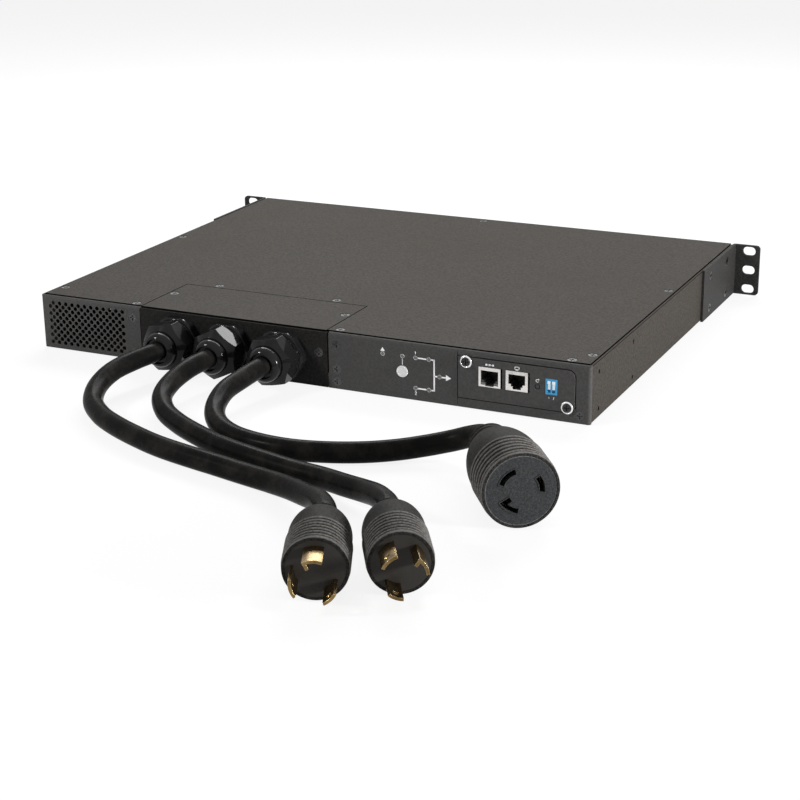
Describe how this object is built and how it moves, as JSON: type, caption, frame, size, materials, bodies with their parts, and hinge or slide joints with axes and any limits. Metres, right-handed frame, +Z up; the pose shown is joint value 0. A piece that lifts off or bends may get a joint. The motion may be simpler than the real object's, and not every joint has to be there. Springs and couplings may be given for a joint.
{
  "type": "rack static transfer switch",
  "caption": "One-unit rack static transfer switch: a flat black steel case with corded locking input plugs, a corded output connector, a vent grille and a communication card.",
  "frame": {"origin": "centre of the underside of the case, halfway between the connection side and the rear wall", "axes": "+X along the case's width, to the right seen from the connection side; +Y from the connection side to the rear wall with the rack ears; +Z up"},
  "size_m": [0.4995, 0.6748, 0.047],
  "materials": {
    "case_paint": "satin black powder coat, fine texture",
    "panel_paint": "satin black powder coat, fine texture",
    "ear_paint": "satin black powder coat",
    "black_screw": "black oxide, cross recess",
    "bright_screw": "bright nickel plate",
    "sheet_steel": "zinc plated sheet",
    "jack_shell": "bright tin plate",
    "black_nylon": "moulded, satin",
    "gland_nylon": "moulded nylon, glossy",
    "grey_plastic": "moulded, satin",
    "blue_plastic": "moulded, satin",
    "white_plastic": "moulded, satin",
    "lamp_plastic": "clear moulded",
    "board": "solder mask",
    "cord_rubber": "extruded, satin",
    "plug_rubber": "moulded, satin",
    "plug_face": "moulded nylon",
    "seal_rubber": "moulded",
    "brass": "bright, lightly drawn",
    "block_plastic": "moulded phenolic",
    "lead_cover": "extruded insulation",
    "sink_alloy": "extruded, plain",
    "core_steel": "varnished laminations",
    "fuse_ceramic": "glazed ceramic",
    "capacitor_film": "moulded case"
  },
  "bodies": {
    "chassis": {"chassis_tray": "case_paint", "top_cover": "case_paint", "wiring_lid": "case_paint", "wiring_box": "case_paint", "vent_panel": "panel_paint", "gland_panel": "panel_paint", "display_panel": "panel_paint", "left_ear": "ear_paint", "right_ear": "ear_paint", "case_screws": "black_screw", "ear_screws": "black_screw", "card_faceplate": "panel_paint", "captive_screws": "bright_screw", "card_board": "board", "card_cage": "sheet_steel", "card_guides": "black_nylon", "network_jack": "jack_shell", "local_jack": "jack_shell", "jack_inserts": "black_nylon", "jack_contacts": "brass", "test_switch": "black_nylon", "reset_switch": "black_nylon", "dip_body": "blue_plastic", "display_board": "board", "spacers": "sheet_steel", "light_pipes": "lamp_plastic", "gland_body_a": "gland_nylon", "gland_body_b": "gland_nylon", "gland_body_c": "gland_nylon", "gland_nut_a": "gland_nylon", "gland_nut_b": "gland_nylon", "gland_nut_c": "gland_nylon", "gland_seals": "seal_rubber", "gland_locknuts": "black_nylon", "input_cord_a": "cord_rubber", "input_cord_b": "cord_rubber", "output_cord": "cord_rubber", "plug_body_a": "plug_rubber", "plug_body_b": "plug_rubber", "plug_face_a": "plug_face", "plug_face_b": "plug_face", "plug_blades_a": "brass", "plug_blades_b": "brass", "connector_body": "plug_rubber", "connector_face": "plug_face", "connector_contacts": "brass", "terminal_blocks": "block_plastic", "cord_leads": "lead_cover", "feed_leads": "lead_cover", "power_board": "board", "heat_sink": "sink_alloy", "thyristor_modules": "block_plastic", "supply_transformers": "core_steel", "filter_capacitors": "capacitor_film", "input_fuses": "fuse_ceramic", "control_board": "board"},
    "test_button": {"test_button": "grey_plastic"},
    "reset_button": {"reset_button": "black_nylon"},
    "dip_slider_1": {"dip_slider_1": "white_plastic"},
    "dip_slider_2": {"dip_slider_2": "white_plastic"}
  },
  "joints": [
    {"name": "test_press", "type": "slide", "parent": "chassis", "child": "test_button", "axis": [0, 1, 0], "range_m": [0, 0.0008], "stiffness_N_per_m": 1500, "springref_m": -0.0004},
    {"name": "reset_press", "type": "slide", "parent": "chassis", "child": "reset_button", "axis": [0, 1, 0], "range_m": [0, 0.0004], "stiffness_N_per_m": 1500, "springref_m": -0.0004},
    {"name": "dip_1_slide", "type": "slide", "parent": "chassis", "child": "dip_slider_1", "axis": [0, 0, -1], "range_m": [0, 0.002]},
    {"name": "dip_2_slide", "type": "slide", "parent": "chassis", "child": "dip_slider_2", "axis": [0, 0, -1], "range_m": [0, 0.002]}
  ]
}
